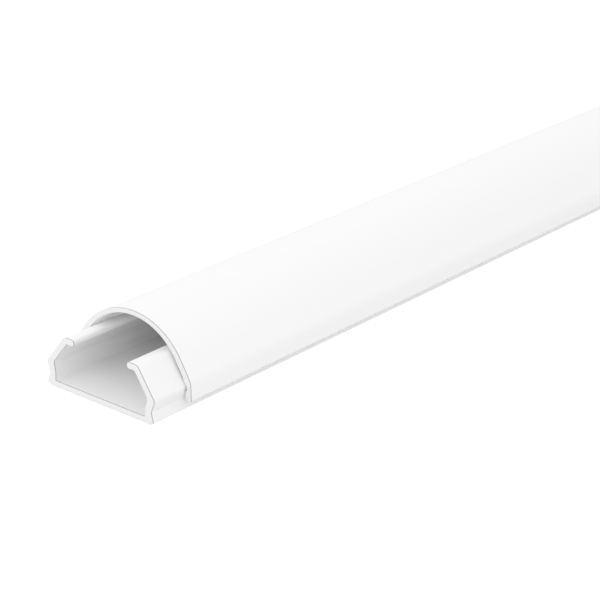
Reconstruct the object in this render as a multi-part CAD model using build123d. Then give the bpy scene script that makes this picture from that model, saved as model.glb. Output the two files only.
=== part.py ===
from build123d import *
import os
from math import cos, radians, sin

# A half-round cable cover: a self-adhesive base channel whose walls end in hooks that hold
# the cables in, and an arched cover that clips over the walls' shoulders.
# Frame: X across the channel, Y along it with the open near end at -Y, Z up from the wall face.
# The origin is the middle of the tape's underside. Sizes are in millimetres and degrees.

# Stock
length = 1000.0  # sold length of the base, of its tape and of the cover
cover_setback = 15.0  # the cover's near end stands back this far from the base's near end

# Adhesive tape
tape_thickness = 0.6
tape_margin = 1.1  # bare underside of the base at each side of the tape

# Base channel, heights measured from its underside
waist_half_width = 21.9  # middle plane to the outer face of the wall at its waist
floor_thickness = 1.6
wall_thickness = 2.5  # wall at the waist
shoulder_thickness = 3.0  # wall straight across at the inside of the shoulder
lean_thickness = 2.2  # wall above the shoulder
foot_reach = 0.9  # foot beyond the waist
foot_edge = 0.5  # upright edge of the foot, below the slope that rises to the waist
waist_height = 3.7  # where the wall's outer face starts to lean out
inner_waist_height = 4.6  # where the wall's inner face starts to lean out
shoulder_height = 7.8  # tip of the shoulder
shoulder_reach = 1.3  # shoulder beyond the waist
wall_lean = 36.0  # inward lean of the wall above the shoulder
hook_height = 18.1  # top of the hook
hook_thickness = 2.2
hook_reach = 3.1  # overhang of the hook past the wall's inner face

# Cover
snap_clearance = 0.25  # between the cover and the wall that it clips over
crown_thickness = 1.6
flank_thickness = 2.1
crown_clearance = 7.7  # inside of the crown above the hooks
flank_lean = 33.0  # lean of the flanks that run from the arch to the lips
lip_lean = 5.0  # the lips flare out downward
lip_thickness = 1.65  # lip at the groove that takes the shoulder
lip_drop = 4.7  # lip's lower edge below the tip of the shoulder
ridge_reach = 0.65  # snap ridge that grips under the shoulder
ledge_rise = 0.6  # top of the groove above the tip of the shoulder
seat_length = 1.7  # bead face that lies along the wall
bead_depth = 0.3  # bead past the inside of the flank
bead_run = 1.2  # slope from the bead back to the flank

# Edge rounds
foot_round = 0.2
waist_round = 0.3
inner_waist_round = 1.0
wall_bend = 1.5
shoulder_round = 1.5
hook_bend = 2.4
hook_tip_round = 0.9
hook_fillet = 0.8
floor_fillet = 0.4
lip_round = 0.6
ridge_round = 0.3
bead_round = 0.3
flank_bend = 6.0

# Worked-out places, measured from the wall face
underside = tape_thickness
floor_top = underside + floor_thickness
foot_half_width = waist_half_width + foot_reach
hook_top = underside + hook_height
hook_bottom = hook_top - hook_thickness
waist = Vector(waist_half_width, underside + waist_height)
shoulder = Vector(waist_half_width + shoulder_reach, underside + shoulder_height)
leaning_out = (shoulder - waist).normalized()


def along(lean):
    """Unit vector that runs up and inward at a lean from the vertical."""
    return Vector(-sin(radians(lean)), cos(radians(lean)))


def outward(direction):
    """Unit vector square to a direction that runs up the right-hand wall, pointing out of it."""
    return Vector(direction.Y, -direction.X)


def level(height):
    """Level line at a height."""
    return Vector(0, height), Vector(1, 0)


def plumb(reach):
    """Upright line at a distance from the middle plane."""
    return Vector(reach, 0), Vector(0, 1)


def meet(line, other):
    """Point where two lines meet, each a point and a direction."""
    start, run = line
    end, side = other
    return start + run * ((end - start).dot(outward(side)) / run.dot(outward(side)))


def stock(half_outline, near_end):
    """Bar whose section is a half outline and its mirror image, from its near end along +Y."""
    with BuildSketch(Plane.XZ.offset(-near_end)) as section:
        with BuildLine():
            half_outline()
        make_face()
        mirror(about=Plane.YZ)
    return extrude(section.sketch, amount=length, dir=(0, 1, 0))


def base_outline():
    """Right half of the base channel's section."""
    leaning_in = along(wall_lean)
    inner_face = waist_half_width - wall_thickness
    inner_lean = (shoulder - outward(leaning_in) * lean_thickness, leaning_in)
    hook_root = meet(inner_lean, level(hook_bottom))
    hook_tip = hook_root.X - hook_reach
    corners = [
        ((foot_half_width, underside), foot_round),
        ((foot_half_width, underside + foot_edge), foot_round),
        (waist, waist_round),
        (shoulder, shoulder_round),
        (meet((shoulder, leaning_in), level(hook_top)), hook_bend),
        ((hook_tip, hook_top), hook_tip_round),
        ((hook_tip, hook_bottom), hook_tip_round),
        (hook_root, hook_fillet),
        (meet(inner_lean, plumb(shoulder.X - shoulder_thickness)), wall_bend),
        ((inner_face, underside + inner_waist_height), inner_waist_round),
        ((inner_face, floor_top), floor_fillet),
    ]
    start = (0, underside)
    end = (0, floor_top)
    points = [start] + [point for point, _ in corners] + [end]
    FilletPolyline(*points, radius=[radius for _, radius in corners])
    Line(end, start)


def arch(flank_offset, crown):
    """Centre, radius and right-hand end of an arch of a crown height that runs tangent into the flanks."""
    rise = sin(radians(flank_lean))
    radius = (flank_offset - rise * crown) / (1 - rise)
    centre = Vector(0, crown - radius)
    return centre, radius, centre + outward(along(flank_lean)) * radius


def cover_outline():
    """Right half of the cover's section: arch, straight flank, lip, groove and bead."""
    leaning_in = along(wall_lean)
    flank = along(flank_lean)
    lip = along(lip_lean)
    groove_face = (shoulder + outward(lip) * snap_clearance, lip)
    outer_face = (groove_face[0] + outward(lip) * lip_thickness, lip)
    ridge_face = (groove_face[0] - outward(lip) * ridge_reach, lip)
    lip_bottom = level(shoulder.Y - lip_drop)

    # The ridge's top corner stands clear of the face that leans out below the shoulder
    ridge_top = meet(ridge_face, (waist + outward(leaning_out) * snap_clearance, leaning_out))
    groove_bottom = meet(groove_face, level(ridge_top.Y + ridge_reach))

    # The bead seats on the leaning wall, and the flank stands back from it
    groove_top = level(shoulder.Y + ledge_rise)
    ledge = meet((shoulder + outward(leaning_in) * snap_clearance, leaning_in), groove_top)
    bead_tip = ledge + leaning_in * seat_length
    flank_foot = bead_tip + outward(flank) * bead_depth
    bead_end = flank_foot + flank * bead_run

    # The arch is thinner at its crown than the flanks that it runs into
    inner_crown = hook_top + crown_clearance
    outer_crown = inner_crown + crown_thickness
    flank_offset = flank_foot.dot(outward(flank))
    inner_centre, inner_radius, inner_tangent = arch(flank_offset, inner_crown)
    outer_centre, outer_radius, outer_tangent = arch(flank_offset + flank_thickness, outer_crown)

    corners = [
        (meet((outer_tangent, flank), outer_face), flank_bend),
        (meet(outer_face, lip_bottom), lip_round),
        (meet(ridge_face, lip_bottom), lip_round),
        (ridge_top, ridge_round),
        (groove_bottom, ridge_round),
        (meet(groove_face, groove_top), bead_round),
        (ledge, 0),
        (bead_tip, bead_round),
        (bead_end, bead_round),
    ]
    points = [outer_tangent] + [point for point, _ in corners] + [inner_tangent]
    FilletPolyline(*points, radius=[radius for _, radius in corners])
    CenterArc(inner_centre, inner_radius, flank_lean, 90 - flank_lean)
    Line((0, inner_crown), (0, outer_crown))
    CenterArc(outer_centre, outer_radius, flank_lean, 90 - flank_lean)


near_end = -length / 2
tape_width = 2 * (foot_half_width - tape_margin)

base_channel = stock(base_outline, near_end)
cover = stock(cover_outline, near_end + cover_setback)
adhesive_tape = Box(tape_width, length, tape_thickness, align=(Align.CENTER, Align.CENTER, Align.MIN))

os.makedirs("parts", exist_ok=True)
for node, piece in {
    "base_channel": base_channel,
    "cover": cover,
    "adhesive_tape": adhesive_tape,
}.items():
    export_step(piece, f"parts/{node}.step")
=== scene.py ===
from math import ceil, cos, pi, radians, sin, tan

import bpy
import numpy as np
from mathutils import Matrix, Vector


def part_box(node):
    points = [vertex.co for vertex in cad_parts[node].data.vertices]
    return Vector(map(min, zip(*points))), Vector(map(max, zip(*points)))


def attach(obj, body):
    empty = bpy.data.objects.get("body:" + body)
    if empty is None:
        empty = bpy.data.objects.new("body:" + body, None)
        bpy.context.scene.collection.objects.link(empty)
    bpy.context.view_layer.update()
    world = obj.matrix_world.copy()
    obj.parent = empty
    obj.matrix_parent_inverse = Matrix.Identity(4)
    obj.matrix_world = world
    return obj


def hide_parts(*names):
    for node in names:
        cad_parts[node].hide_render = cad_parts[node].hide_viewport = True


# A half-round cable cover of white PVC: a base channel on its foam tape, with an arched cover
# clipped over it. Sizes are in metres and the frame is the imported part's: X across, Y along with
# the sawn near end at -Y, Z up from the wall face.

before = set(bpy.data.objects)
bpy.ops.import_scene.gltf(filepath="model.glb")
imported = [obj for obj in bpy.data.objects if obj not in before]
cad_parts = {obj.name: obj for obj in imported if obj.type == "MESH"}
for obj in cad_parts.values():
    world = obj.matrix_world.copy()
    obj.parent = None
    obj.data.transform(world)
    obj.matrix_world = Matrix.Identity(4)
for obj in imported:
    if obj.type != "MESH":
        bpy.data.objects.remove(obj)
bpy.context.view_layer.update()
tape_low, tape_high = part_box("adhesive_tape")
base_low, base_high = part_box("base_channel")
cover_low, cover_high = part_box("cover")

# Section of the cover
crown_thickness = 0.0016
flank_thickness = 0.0021
flank_lean = radians(33)  # lean of the flanks that run from the arch to the lips
lip_lean = radians(5)  # the lips flare out downward
lip_thickness = 0.00165  # lip at the groove that takes the shoulder
lip_drop = 0.0047  # lip's lower edge below the tip of the shoulder
ridge_reach = 0.00065  # snap ridge that grips under the shoulder
ledge_rise = 0.0006  # top of the groove above the tip of the shoulder
seat_length = 0.0017  # bead face that lies along the wall
bead_depth = 0.0003  # bead past the inside of the flank
bead_run = 0.0012  # slope from the bead back to the flank
snap_clearance = 0.00025  # between the cover and the wall that it clips over

# Section of the base channel, heights measured from its underside
floor_thickness = 0.0016
wall_thickness = 0.0025  # wall at its waist
shoulder_thickness = 0.003  # wall straight across at the inside of the shoulder
lean_thickness = 0.0022  # wall above the shoulder
wall_lean = radians(36)  # inward lean of the wall above the shoulder
foot_reach = 0.0009  # foot beyond the waist
foot_edge = 0.0005  # upright edge of the foot
waist_height = 0.0037  # where the wall's outer face starts to lean out
inner_waist_height = 0.0046  # where the wall's inner face starts to lean out
shoulder_reach = 0.0013  # shoulder beyond the waist
hook_thickness = 0.0022
hook_reach = 0.0031  # overhang of the hook past the wall's inner face
tape_margin = 0.0011  # bare underside at each side of the tape

# Edge rounds
foot_round = 0.0002
waist_round = 0.0003
inner_waist_round = 0.001
wall_bend = 0.0015
shoulder_round = 0.0015
hook_bend = 0.0024
hook_tip_round = 0.0009
hook_fillet = 0.0008
floor_fillet = 0.0004
lip_round = 0.0006
ridge_round = 0.0003
bead_round = 0.0003
flank_bend = 0.006
tape_wear = 0.25  # round of the tape's worn corners, as a share of its thickness
sawn_edge = 0.00005  # broken edge round each sawn end
outline_band = 0.0003  # skin beside each sawn end that takes the sawn edges' dark finish, a painted shade line

# Mesh
arc_step = radians(9)  # turn between the points of a small round
arch_step = radians(2)  # turn between the points of the arch
run_step = 0.002  # longest stretch of a straight run across the section
ring_step = 0.01  # distance between sections along the length
edge_steps = 2  # facets round a sawn edge
sharp_angle = radians(50)  # faces that turn by more than this meet at a sharp edge

# Places of an extrusion's finishes in its list
on_skin, on_sawn, on_sawn_edges, on_lower_skin = range(4)

# Tones and roughness of the PVC
base_tone = (0.92, 0.92, 0.92)
cover_tone = (0.93, 0.93, 0.93)
# painted light: the cover's faces that look down, its inside, are painted lighter and warmer than
# its outside, and only they scatter light under the skin, a painted glow through the wall
inside_glow_tone = (0.95, 0.94, 0.935)
# the sawn ends are darker than the skin, partly the sawn face's own duller tone and partly painted
# shade on the end faces
sawn_and_shade_tone = (0.8, 0.8, 0.8)
# painted shade: the sawn edges and the band beside them are painted dark, as a shade line along
# each sawn end
outline_shade_tone = (0.4, 0.39, 0.38)
base_roughness = 0.4
cover_roughness = 0.37
inside_roughness = 0.4

# Places that the pieces share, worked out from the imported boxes
underside = base_low.z
floor_top = underside + floor_thickness
hook_top = base_high.z
hook_bottom = hook_top - hook_thickness
foot = tape_high.x + tape_margin
waist = Vector((foot - foot_reach, underside + waist_height))
shoulder = Vector((waist.x + shoulder_reach, cover_low.z + lip_drop))
leaning_out = (shoulder - waist).normalized()


def along(lean):
    """Direction of a face that rises while leaning towards the middle plane."""
    return Vector((-sin(lean), cos(lean)))


def outward(direction):
    """Direction out of a right-hand face that rises along the given direction."""
    return Vector((direction.y, -direction.x))


def level(height):
    """Level line at a height."""
    return Vector((0, height)), Vector((1, 0))


def plumb(reach):
    """Upright line at a distance from the middle plane."""
    return Vector((reach, 0)), Vector((0, 1))


def meet(line, other):
    """Point where two lines meet, each a point and a direction."""
    start, run = line
    end, side = other
    return start + run * ((end - start).dot(outward(side)) / run.dot(outward(side)))


def arc(centre, start, turn, step):
    """Points from start round the centre, with no more than the step between them."""
    count = max(1, ceil(abs(turn) / step))
    spoke = start - centre
    return [centre + Matrix.Rotation(turn * i / count, 2) @ spoke for i in range(count + 1)]


def rounded(corners):
    """Points of a line through corners, each a place and the radius that rounds it."""
    points = [corners[0][0]]
    for (before, _), (corner, radius), (after, _) in zip(corners, corners[1:], corners[2:]):
        if not radius:
            points.append(corner)
            continue
        back = (before - corner).normalized()
        ahead = (after - corner).normalized()
        half = back.angle(ahead) / 2
        centre = corner + (back + ahead).normalized() * (radius / sin(half))
        start = corner + back * (radius / tan(half))
        side = 1 if back.x * ahead.y - back.y * ahead.x < 0 else -1
        points += arc(centre, start, side * (pi - 2 * half), arc_step)
    return points + [corners[-1][0]]


def within(points, reach):
    """The same points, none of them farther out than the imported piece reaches."""
    return [Vector((min(x, reach), z)) for x, z in points]


def base_half():
    """Right half of the base channel's outline, from the middle of its underside to its floor."""
    leaning_in = along(wall_lean)
    inner_face = waist.x - wall_thickness
    inner_lean = (shoulder - outward(leaning_in) * lean_thickness, leaning_in)
    hook_root = meet(inner_lean, level(hook_bottom))
    hook_tip = hook_root.x - hook_reach
    corners = [
        (Vector((0, underside)), 0),
        (Vector((foot, underside)), foot_round),
        (Vector((foot, underside + foot_edge)), foot_round),
        (waist, waist_round),
        (shoulder, shoulder_round),
        (meet((shoulder, leaning_in), level(hook_top)), hook_bend),
        (Vector((hook_tip, hook_top)), hook_tip_round),
        (Vector((hook_tip, hook_bottom)), hook_tip_round),
        (hook_root, hook_fillet),
        (meet(inner_lean, plumb(shoulder.x - shoulder_thickness)), wall_bend),
        (Vector((inner_face, underside + inner_waist_height)), inner_waist_round),
        (Vector((inner_face, floor_top)), floor_fillet),
        (Vector((0, floor_top)), 0),
    ]
    return within(rounded(corners), base_high.x)


def arch(flank_offset, crown):
    """Centre and right-hand end of an arch of a crown height that runs tangent into the flanks."""
    rise = sin(flank_lean)
    radius = (flank_offset - rise * crown) / (1 - rise)
    centre = Vector((0, crown - radius))
    return centre, centre + outward(along(flank_lean)) * radius


def cover_half():
    """Right half of the cover's outline, from the outside of its crown to the inside."""
    leaning_in = along(wall_lean)
    flank = along(flank_lean)
    lip = along(lip_lean)
    groove_face = (shoulder + outward(lip) * snap_clearance, lip)
    outer_face = (groove_face[0] + outward(lip) * lip_thickness, lip)
    ridge_face = (groove_face[0] - outward(lip) * ridge_reach, lip)
    lip_bottom = level(cover_low.z)

    # The ridge's top corner stands clear of the face that leans out below the shoulder
    ridge_top = meet(ridge_face, (waist + outward(leaning_out) * snap_clearance, leaning_out))
    groove_bottom = meet(groove_face, level(ridge_top.y + ridge_reach))

    # The bead seats on the leaning wall, and the flank stands back from it
    groove_top = level(shoulder.y + ledge_rise)
    ledge = meet((shoulder + outward(leaning_in) * snap_clearance, leaning_in), groove_top)
    bead_tip = ledge + leaning_in * seat_length
    flank_foot = bead_tip + outward(flank) * bead_depth
    bead_end = flank_foot + flank * bead_run

    # The arch is thinner at its crown than the flanks that it runs into
    outer_crown = cover_high.z
    flank_offset = flank_foot.dot(outward(flank))
    inner_centre, inner_tangent = arch(flank_offset, outer_crown - crown_thickness)
    outer_centre, outer_tangent = arch(flank_offset + flank_thickness, outer_crown)
    sweep = pi / 2 - flank_lean

    edge = rounded([
        (outer_tangent, 0),
        (meet((outer_tangent, flank), outer_face), flank_bend),
        (meet(outer_face, lip_bottom), lip_round),
        (meet(ridge_face, lip_bottom), lip_round),
        (ridge_top, ridge_round),
        (groove_bottom, ridge_round),
        (meet(groove_face, groove_top), bead_round),
        (ledge, 0),
        (bead_tip, bead_round),
        (bead_end, bead_round),
        (inner_tangent, 0),
    ])
    outside = arc(outer_centre, Vector((0, outer_crown)), -sweep, arch_step)
    inside = arc(inner_centre, inner_tangent, sweep, arch_step)
    return within(outside + edge[1:-1] + inside, cover_high.x)


def tape_half():
    """Right half of the tape's outline, from the middle of its underside to its top."""
    half_width = tape_high.x
    corner = (tape_high.z - tape_low.z) * tape_wear
    return rounded([
        (Vector((0, tape_low.z)), 0),
        (Vector((half_width, tape_low.z)), corner),
        (Vector((half_width, tape_high.z)), corner),
        (Vector((0, tape_high.z)), 0),
    ])


def divided(points):
    """The same line with long straight runs divided evenly."""
    line = [points[0]]
    for start, end in zip(points, points[1:]):
        count = max(1, ceil((end - start).length / run_step))
        line += [start.lerp(end, i / count) for i in range(1, count + 1)]
    return line


def section(half):
    """Whole outline from its right half, and the directions out of it at each point."""
    right = np.array([tuple(point) for point in divided(half)])
    right[[0, -1], 0] = 0
    outline = np.concatenate([right, right[-2:0:-1] * (-1, 1)])
    following = np.roll(outline, -1, axis=0)
    runs = following - outline
    runs /= np.linalg.norm(runs, axis=1)[:, None]
    turning = runs + np.roll(runs, 1, axis=0)
    turning /= np.linalg.norm(turning, axis=1)[:, None]
    outwards = np.stack([turning[:, 1], -turning[:, 0]], axis=1)
    twice_area = np.sum(outline[:, 0] * following[:, 1] - outline[:, 1] * following[:, 0])
    if twice_area < 0:
        return outline[::-1], -outwards[::-1]
    return outline, outwards


def sawn_rings(near, far):
    """Places along the length, each with how far the outline draws in at the sawn edges."""
    turns = [pi / 2 * i / edge_steps for i in range(edge_steps + 1)]
    edge = [(sawn_edge * (1 - cos(turn)), sawn_edge * (1 - sin(turn))) for turn in turns]
    edge.append((outline_band, 0))
    count = ceil((far - near) / ring_step)
    start = [(near + step, depth) for step, depth in edge]
    middle = [(near + (far - near) * i / count, 0) for i in range(1, count)]
    end = [(far - step, depth) for step, depth in reversed(edge)]
    return start + middle + end


def piece_from(name, vertices, faces, finishes, finish_of_face):
    """A mesh object with smooth faces, sharp where two faces meet at a real edge."""
    mesh = bpy.data.meshes.new(name)
    mesh.from_pydata(vertices, [], faces)
    own_finishes = list(dict.fromkeys(finishes))
    for finish in own_finishes:
        mesh.materials.append(finish)
    places = [own_finishes.index(finish) for finish in finishes]
    mesh.polygons.foreach_set("material_index", [places[finish] for finish in finish_of_face])
    mesh.shade_smooth()
    mesh.set_sharp_from_angle(angle=sharp_angle)
    piece = bpy.data.objects.new(name, mesh)
    bpy.context.scene.collection.objects.link(piece)
    shading = piece.modifiers.new("even_shading", "WEIGHTED_NORMAL")
    shading.keep_sharp = True
    return piece


def extrusion(name, half, near, far, skin, sawn, sawn_edges, lower_skin):
    """A length of stock with the given section: its skin above and below, and its sawn ends."""
    outline, outwards = section(half)
    rings = sawn_rings(near, far)
    vertices = []
    for place, depth in rings:
        drawn = outline - outwards * depth
        vertices += [(x, place, z) for x, z in drawn]

    around = len(outline)
    strips = len(rings) - 1
    faces = []
    for strip in range(strips):
        for i in range(around):
            first = strip * around + i
            second = strip * around + (i + 1) % around
            faces.append((first, first + around, second + around, second))
    last_ring = strips * around
    faces.append(tuple(range(around)))
    faces.append(tuple(range(last_ring + around - 1, last_ring - 1, -1)))

    # The broken edge and the band beside it at each end have the sawn edges' finish, on the PVC a
    # dark painted shade line along each sawn end
    rises = outwards[:, 1] + np.roll(outwards[:, 1], -1)
    skin_strip = [on_lower_skin if rise < 0 else on_skin for rise in rises]
    edge_strips = edge_steps + 1
    at_end = [on_sawn_edges] * around * edge_strips
    finish_of_face = at_end + skin_strip * (strips - 2 * edge_strips) + at_end + [on_sawn] * 2
    finishes = [skin, sawn, sawn_edges, lower_skin]
    return piece_from(name, vertices, faces, finishes, finish_of_face)


class Wire:
    """A socket of a finish's nodes. Sums of wires and numbers add Math nodes."""

    def __init__(self, finish, socket):
        self.finish = finish
        self.socket = socket

    def sum(self, operation, first, second):
        return self.finish.node("ShaderNodeMath", {"operation": operation}, {0: first, 1: second})

    def __add__(self, other):
        return self.sum("ADD", self, other)

    def __radd__(self, other):
        return self.sum("ADD", other, self)

    def __sub__(self, other):
        return self.sum("SUBTRACT", self, other)

    def __rsub__(self, other):
        return self.sum("SUBTRACT", other, self)

    def __mul__(self, other):
        return self.sum("MULTIPLY", self, other)

    def __rmul__(self, other):
        return self.sum("MULTIPLY", other, self)


class Finish:
    """A material whose nodes all come from one method."""

    def __init__(self, name):
        self.material = bpy.data.materials.new(name)
        self.material.use_nodes = True
        self.tree = self.material.node_tree
        self.tree.nodes.clear()
        self.place = self.node("ShaderNodeTexCoord", output="Object")

    def node(self, kind, settings=None, sockets=None, output=0):
        """Adds a node, sets its settings and its sockets to values or wires, gives one output."""
        node = self.tree.nodes.new(kind)
        for setting, value in (settings or {}).items():
            setattr(node, setting, value)
        by_name = {socket.identifier: socket for socket in node.inputs}
        for name, value in (sockets or {}).items():
            socket = node.inputs[name] if isinstance(name, int) else by_name[name]
            if isinstance(value, Wire):
                self.tree.links.new(value.socket, socket)
            else:
                socket.default_value = value
        if isinstance(output, int):
            return Wire(self, node.outputs[output]) if node.outputs else None
        return Wire(self, next(socket for socket in node.outputs if socket.identifier == output))

    def vector(self, operation, *parts, output=0):
        """Vector Math on places, each a wire or three numbers."""
        sockets = dict(enumerate(parts))
        return self.node("ShaderNodeVectorMath", {"operation": operation}, sockets, output)

    def stretched(self, pitch):
        """Place on the surface, measured in pitches across, along and up."""
        return self.vector("MULTIPLY", self.place, tuple(1 / size for size in pitch))

    def noise(self, pitch, detail, roughness=0.5):
        """Soft noise from 0 to 1 whose features are as large as the pitch."""
        return self.node(
            "ShaderNodeTexNoise",
            {"noise_dimensions": "3D"},
            {
                "Vector": self.stretched(pitch),
                "Scale": 1.0,
                "Detail": detail,
                "Roughness": roughness,
            },
            "Fac",
        )

    def between(self, value, low, high):
        """How far a value has gone from low to high, eased at both ends."""
        return self.node(
            "ShaderNodeMapRange",
            {"interpolation_type": "SMOOTHSTEP"},
            {"Value": value, "From Min": low, "From Max": high},
            "Result",
        )

    def mixed(self, share, first, second):
        """A colour between two tones, by share."""
        return self.node(
            "ShaderNodeMix",
            {"data_type": "RGBA"},
            {"Factor_Float": share, "A_Color": first + (1,), "B_Color": second + (1,)},
            "Result_Color",
        )

    def bump(self, height, depth):
        """Normal of a surface whose height, from 0 to 1, is as deep as given."""
        return self.node("ShaderNodeBump", None, {"Height": height, "Distance": depth}, "Normal")

    def shade(self, sockets):
        """The material, with the shader's sockets as given."""
        surface = self.node("ShaderNodeBsdfPrincipled", None, sockets, "BSDF")
        self.node("ShaderNodeOutputMaterial", None, {"Surface": surface})
        return self.material


def blended(share, first, second):
    """Two patterns in one, the first by its share and the second by the rest."""
    return first * share + second * (1 - share)


def shifted(tone, shifts):
    """A tone with each channel scaled by its own shift."""
    return tuple(channel * shift for channel, shift in zip(tone, shifts))


def white_pvc(name, tone, roughness, translucency=0.0):
    """Extruded PVC: fine die lines along the length, and broad faint changes of tone and gloss."""
    die_line_pitch = (0.0006, 0.4, 0.0006)
    cloud_pitch = (0.03, 0.12, 0.03)
    grain_pitch = (0.00025, 0.00025, 0.00025)
    warm_shift = (1.0, 0.992, 0.985)
    cool_shift = (0.988, 0.99, 1.0)
    cloud_gloss = 0.12  # range of roughness from cloud to cloud
    die_line_gloss = 0.08  # range of roughness from line to line
    cloud_share = 0.7  # of the tone, beside the die lines
    die_line_share = 0.7  # of the relief, beside the grain
    relief_depth = 0.00002
    scatter_radius = (1, 0.92, 0.88)  # light under the skin, red going farthest
    scatter_scale = 0.012
    finish = Finish(name)
    die_lines = finish.noise(die_line_pitch, 3.0, 0.6)
    clouds = finish.noise(cloud_pitch, 2.0)
    grain = finish.noise(grain_pitch, 1.0)
    warm = shifted(tone, warm_shift)
    cool = shifted(tone, cool_shift)
    return finish.shade({
        "Base Color": finish.mixed(blended(cloud_share, clouds, die_lines), warm, cool),
        "Roughness": roughness + (clouds - 0.5) * cloud_gloss + (die_lines - 0.5) * die_line_gloss,
        "Subsurface Weight": translucency,
        "Subsurface Radius": scatter_radius,
        "Subsurface Scale": scatter_scale,
        "Normal": finish.bump(blended(die_line_share, die_lines, grain), relief_depth),
    })


def sawn_pvc(name, tone):
    """Sawn PVC: fine arcs left by the blade, matt and a little darker than the skin."""
    saw_centre = (-0.06, 0.0, 0.13)
    cut_plane = (1, 0, 1)
    arc_pitch = 0.0003
    fuzz_pitch = (0.0002, 0.0002, 0.0002)
    dull_shift = (0.95, 0.95, 0.95)
    arc_tone_share = 0.6  # of the tone, beside the fuzz
    arc_relief_share = 0.7  # of the relief, beside the fuzz
    least_roughness = 0.5
    arc_gloss = 0.2  # range of roughness from arc to arc
    relief_depth = 0.00003
    finish = Finish(name)
    spoke = finish.vector("SUBTRACT", finish.place, saw_centre)
    radius = finish.vector("LENGTH", finish.vector("MULTIPLY", spoke, cut_plane), output="Value")
    arcs = finish.node(
        "ShaderNodeTexNoise",
        {"noise_dimensions": "1D"},
        {"W": radius * (1 / arc_pitch), "Scale": 1.0, "Detail": 2.0},
        "Fac",
    )
    fuzz = finish.noise(fuzz_pitch, 2.0)
    dull = shifted(tone, dull_shift)
    return finish.shade({
        "Base Color": finish.mixed(blended(arc_tone_share, arcs, fuzz), tone, dull),
        "Roughness": least_roughness + arcs * arc_gloss,
        "Normal": finish.bump(blended(arc_relief_share, arcs, fuzz), relief_depth),
    })


def tan_foam(name):
    """Tan foam tape: closed cells, with paler and darker patches."""
    cell_pitch = (0.0003, 0.0003, 0.0003)
    patch_pitch = (0.004, 0.02, 0.004)
    dark_tan = (0.78, 0.735, 0.69)
    pale_tan = (0.88, 0.85, 0.815)
    cell_weight = 0.5
    patch_weight = 0.6
    darkest, palest = 0.2, 0.8  # weighted sums that give the two tones
    least_roughness = 0.75
    patch_gloss = 0.15  # range of roughness from patch to patch
    relief_depth = 0.00008
    finish = Finish(name)
    cells = finish.node(
        "ShaderNodeTexVoronoi",
        {"feature": "F1"},
        {"Vector": finish.stretched(cell_pitch), "Scale": 1.0},
        "Distance",
    )
    patches = finish.noise(patch_pitch, 3.0)
    paleness = finish.between(cells * cell_weight + patches * patch_weight, darkest, palest)
    return finish.shade({
        "Base Color": finish.mixed(paleness, dark_tan, pale_tan),
        "Roughness": least_roughness + patches * patch_gloss,
        "Normal": finish.bump(cells, relief_depth),
    })


def floor_plane(name, tone, glow):
    """A wide, level and matt sheet under the tape that glows."""
    size = 20.0
    corners = [(-size, -size), (size, -size), (size, size), (-size, size)]
    mesh = bpy.data.meshes.new(name)
    mesh.from_pydata([(x, y, tape_low.z) for x, y in corners], [], [(0, 1, 2, 3)])
    mesh.materials.append(Finish(name).shade({
        "Base Color": (tone, tone, tone, 1),
        "Roughness": 0.9,
        "Specular IOR Level": 0.0,
        "Emission Color": (1, 1, 1, 1),
        "Emission Strength": glow,
    }))
    floor = bpy.data.objects.new(name, mesh)
    bpy.context.scene.collection.objects.link(floor)
    return floor


def studio_floor():
    """A plain pale floor: a bright sheet that is seen, and one whose light reaches the pieces."""
    seen = floor_plane("pale_floor", tone=0.2, glow=0.97)
    seen.visible_diffuse = False
    seen.visible_glossy = False
    seen.visible_transmission = False
    seen.visible_shadow = False
    bounce = floor_plane("bounce_floor", tone=0.5, glow=0.36)
    bounce.visible_camera = False


def softbox(name, lit, heading, size, power):
    """A large soft light that shines on a place from along its heading, unseen by the camera."""
    distance = 1.6
    towards = Vector(heading).normalized()
    light = bpy.data.lights.new(name, "AREA")
    light.shape = "RECTANGLE"
    light.size, light.size_y = size
    light.energy = power
    lamp = bpy.data.objects.new(name, light)
    lamp.location = lit + towards * distance
    lamp.rotation_euler = (-towards).to_track_quat("-Z", "Y").to_euler()
    lamp.visible_camera = False
    bpy.context.scene.collection.objects.link(lamp)


def studio_light():
    """White surroundings, with softboxes round the near end."""
    surroundings = 0.93
    lit_height = 0.01
    lit_inset = 0.05  # lit place in from the sawn end
    world = bpy.data.worlds.new("white_studio")
    world.use_nodes = True
    background = world.node_tree.nodes["Background"]
    background.inputs["Color"].default_value = (1, 1, 1, 1)
    background.inputs["Strength"].default_value = surroundings
    bpy.context.scene.world = world
    near_end = Vector((0, base_low.y + lit_inset, lit_height))
    softbox("left_softbox", near_end, heading=(-1, 0, 0.5), size=(1.2, 1.2), power=2.5)
    softbox("front_softbox", near_end, heading=(0, -1, 0.5), size=(1.2, 1.2), power=4.6)
    softbox("camera_side_softbox", near_end, heading=(0.6, -0.8, 0.4), size=(1.0, 1.0), power=2.2)
    bpy.context.scene.view_settings.view_transform = "Standard"


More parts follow.
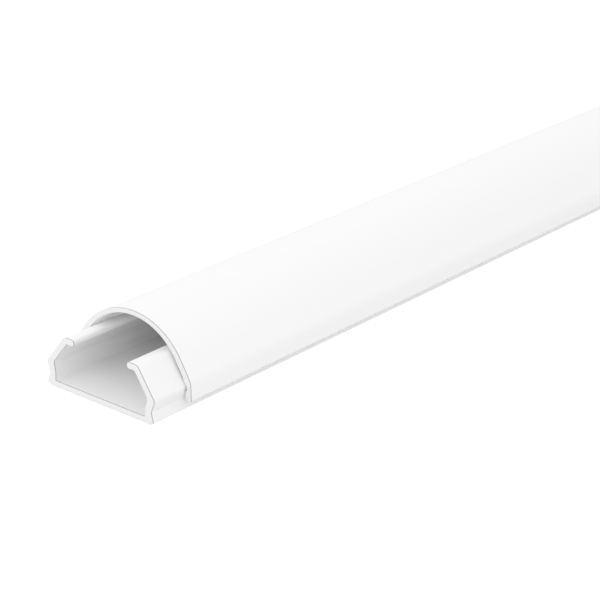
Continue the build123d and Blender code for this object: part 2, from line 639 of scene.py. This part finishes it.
def photo_camera():
    """Camera at the photograph's viewing angle."""
    image_width = 600
    focal_pixels = 2159.3
    sensor_width = 36
    yaw = radians(37.233)
    pitch = radians(22.656)
    roll = radians(-2.624)
    eye = Vector((0.42532, base_low.y - 0.45673, 0.29846))
    ahead = Vector((-sin(yaw) * cos(pitch), cos(yaw) * cos(pitch), -sin(pitch)))
    right = Vector((cos(yaw), sin(yaw), 0))
    down = ahead.cross(right)
    tilted_right = right * cos(roll) + down * sin(roll)
    tilted_down = down * cos(roll) - right * sin(roll)
    data = bpy.data.cameras.new("photo_camera")
    data.sensor_width = sensor_width
    data.lens = sensor_width * focal_pixels / image_width
    data.clip_start = 0.01
    camera = bpy.data.objects.new("photo_camera", data)
    turned = Matrix((tilted_right, -tilted_down, -ahead)).transposed()
    camera.matrix_world = Matrix.Translation(eye) @ turned.to_4x4()
    bpy.context.scene.collection.objects.link(camera)
    bpy.context.scene.camera = camera


base_skin = white_pvc("white_base_pvc", base_tone, base_roughness)
base_channel = extrusion(
    "base_channel_stock",
    base_half(),
    base_low.y,
    base_high.y,
    skin=base_skin,
    # partly painted shade: the base's sawn ends are toned darker than its skin
    sawn=sawn_pvc("sawn_base_pvc", sawn_and_shade_tone),
    # painted shade: a dark outline painted along the base's sawn edges
    sawn_edges=sawn_pvc("sawn_base_shade_outline", outline_shade_tone),
    lower_skin=base_skin,
)
cover = extrusion(
    "cover_stock",
    cover_half(),
    cover_low.y,
    cover_high.y,
    skin=white_pvc("white_cover_pvc", cover_tone, cover_roughness),
    # partly painted shade: the cover's sawn ends are toned darker than its skin
    sawn=sawn_pvc("sawn_cover_pvc", sawn_and_shade_tone),
    # painted shade: a dark outline painted along the cover's sawn edges
    sawn_edges=sawn_pvc("sawn_cover_shade_outline", outline_shade_tone),
    # painted light: a lighter, warmer copy of the cover's PVC that scatters light, on its inside
    # only, as a painted glow
    lower_skin=white_pvc("white_cover_inside_glow", inside_glow_tone, inside_roughness, translucency=1.0),
)
foam = tan_foam("tan_foam")
tape = extrusion(
    "foam_tape",
    tape_half(),
    tape_low.y,
    tape_high.y,
    skin=foam,
    sawn=foam,
    sawn_edges=foam,
    lower_skin=foam,
)

for piece, node, slot in (
    (base_channel, "base_channel", "white_base"),
    (cover, "cover", "white_cover"),
    (tape, "adhesive_tape", "tan_tape"),
):
    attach(piece, "root")
    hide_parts(node)

studio_floor()
studio_light()
photo_camera()
